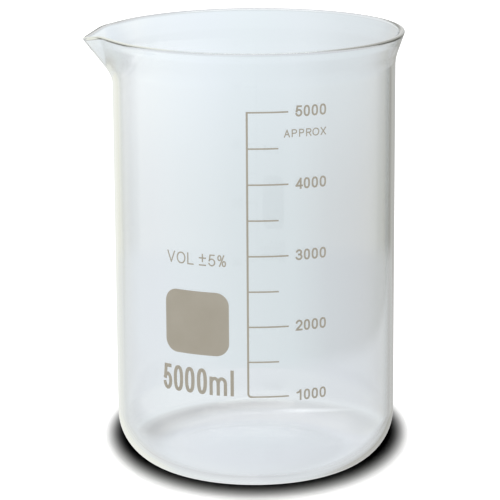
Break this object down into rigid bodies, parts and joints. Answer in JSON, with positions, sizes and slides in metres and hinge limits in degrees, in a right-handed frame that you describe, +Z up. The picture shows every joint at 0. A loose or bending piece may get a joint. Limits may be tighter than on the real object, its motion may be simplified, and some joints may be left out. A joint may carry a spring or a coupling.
{
  "type": "griffin beaker",
  "caption": "Low-form laboratory beaker of clear glass with a flat base, a flared rim, a pouring spout and a printed volume scale.",
  "frame": {"origin": "centre of the flat base, on the axis of the vessel", "axes": "+Z up along the axis from base to rim; -X towards the spout; -Y towards the printed scale"},
  "size_m": [0.1952, 0.183, 0.27],
  "materials": {
    "glass": "clear fire-polished borosilicate glass",
    "enamel": "matt fired enamel print"
  },
  "bodies": {
    "root": {"beaker": "glass", "graduation_scale": "enamel", "marking_patch": "enamel"}
  },
  "joints": []
}
